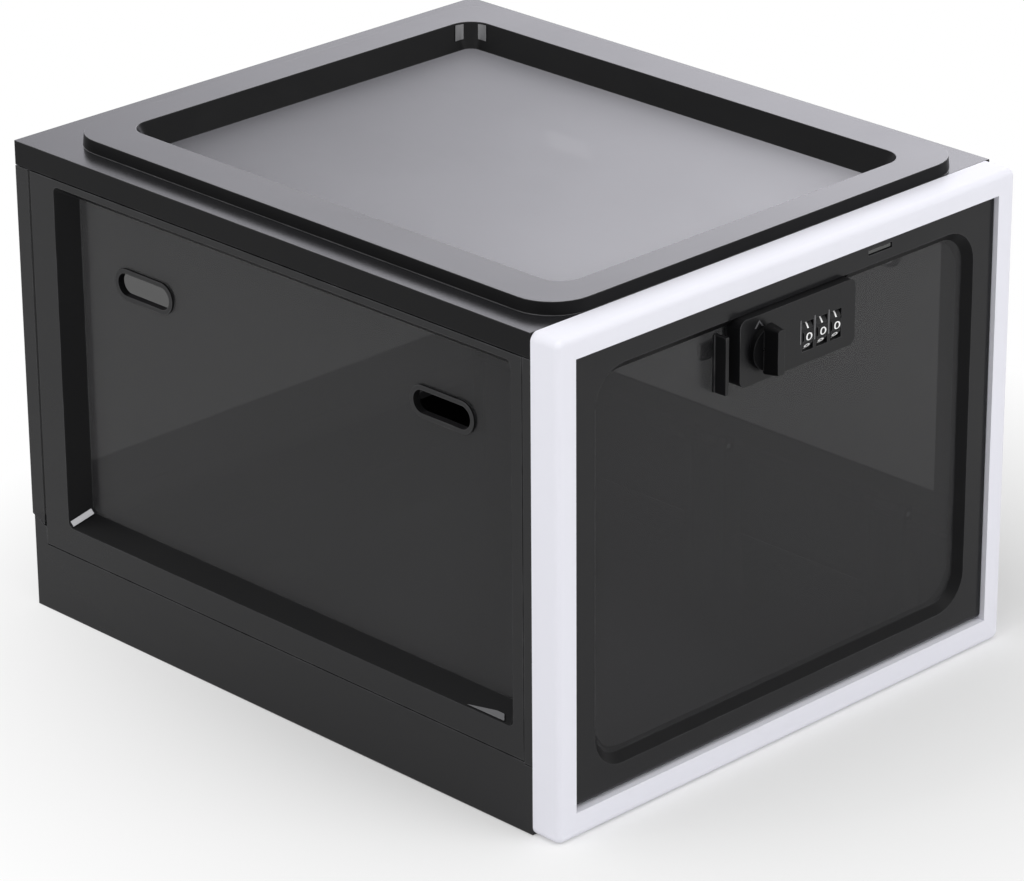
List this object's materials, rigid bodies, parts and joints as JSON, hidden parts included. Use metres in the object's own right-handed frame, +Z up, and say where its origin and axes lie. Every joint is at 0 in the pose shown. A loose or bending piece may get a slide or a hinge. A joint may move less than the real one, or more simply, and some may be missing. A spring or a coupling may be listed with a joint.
{
  "type": "lock box",
  "caption": "Smoked plastic lock box with a white-framed drop-down door, a dial lock with a thumb turn, fold-in side panels with vent holes and a recessed lid.",
  "frame": {"origin": "centre of the base tray's underside, on the surface that the box stands on, midway between its sides and midway between the white frame's face and the rear face", "axes": "+Z up; +Y to the rear, so the door faces -Y; +X to the right of somebody who faces the door"},
  "size_m": [0.3, 0.3722, 0.2462],
  "materials": {
    "smoked_shell": "smoked near-black translucent plastic, glossy",
    "smoked_panel": "smoked translucent side panel, glossy",
    "smoked_door": "smoked translucent door, glossy",
    "smoked_lid": "smoked translucent lid, glossy",
    "white_frame": "white moulded plastic, satin gloss",
    "black_lock": "black moulded lock housing, semi-gloss",
    "black_knob": "black thumb turn, satin",
    "black_dial": "black dial with white digits",
    "steel": "plain steel pins, screws and spring leaf",
    "zinc": "plated zinc spindle, washer and cam"
  },
  "bodies": {
    "box": {"base_tray": "smoked_shell", "rear_panel": "smoked_shell", "rear_panel_pins": "steel", "lid": "smoked_lid", "front_frame": "smoked_shell", "front_frame_pins": "steel", "front_bezel": "white_frame", "bezel_screws": "steel", "left_hinge_pins": "steel", "right_hinge_pins": "steel", "door_hinge_pins": "steel", "door_catch": "smoked_door"},
    "left_panel": {"left_side_panel": "smoked_panel"},
    "right_panel": {"right_side_panel": "smoked_panel"},
    "door_leaf": {"door": "smoked_door", "door_pull": "black_lock", "lock_housing": "black_lock", "lock_back_case": "black_lock", "lock_screws": "steel", "dial_axle": "steel", "detent_spring": "steel"},
    "first_dial": {"dial_1": "black_dial"},
    "second_dial": {"dial_2": "black_dial"},
    "third_dial": {"dial_3": "black_dial"},
    "knob": {"lock_knob": "black_knob", "lock_spindle": "zinc", "spindle_washer": "zinc", "lock_cam": "zinc", "cam_screw": "steel"}
  },
  "joints": [
    {"name": "door_hinge", "type": "hinge", "parent": "box", "child": "door_leaf", "pos_m": [0, -0.174, 0.0165], "axis": [1, 0, 0], "range_deg": [0, 85]},
    {"name": "knob_turn", "type": "hinge", "parent": "door_leaf", "child": "knob", "pos_m": [-0.0225, -0.1817, 0.2015], "axis": [0, 1, 0], "range_deg": [0, 90]},
    {"name": "dial_1_spin", "type": "hinge", "parent": "door_leaf", "child": "first_dial", "pos_m": [0.0064, -0.1735, 0.1985], "axis": [1, 0, 0], "continuous": true},
    {"name": "dial_2_spin", "type": "hinge", "parent": "door_leaf", "child": "second_dial", "pos_m": [0.0157, -0.1735, 0.1985], "axis": [1, 0, 0], "continuous": true},
    {"name": "dial_3_spin", "type": "hinge", "parent": "door_leaf", "child": "third_dial", "pos_m": [0.025, -0.1735, 0.1985], "axis": [1, 0, 0], "continuous": true},
    {"name": "left_panel_fold", "type": "hinge", "parent": "box", "child": "left_panel", "pos_m": [-0.138, 0.0003, 0.04], "axis": [0, 1, 0], "range_deg": [0, 90]},
    {"name": "right_panel_fold", "type": "hinge", "parent": "box", "child": "right_panel", "pos_m": [0.138, 0.0003, 0.053], "axis": [0, -1, 0], "range_deg": [0, 90]}
  ]
}
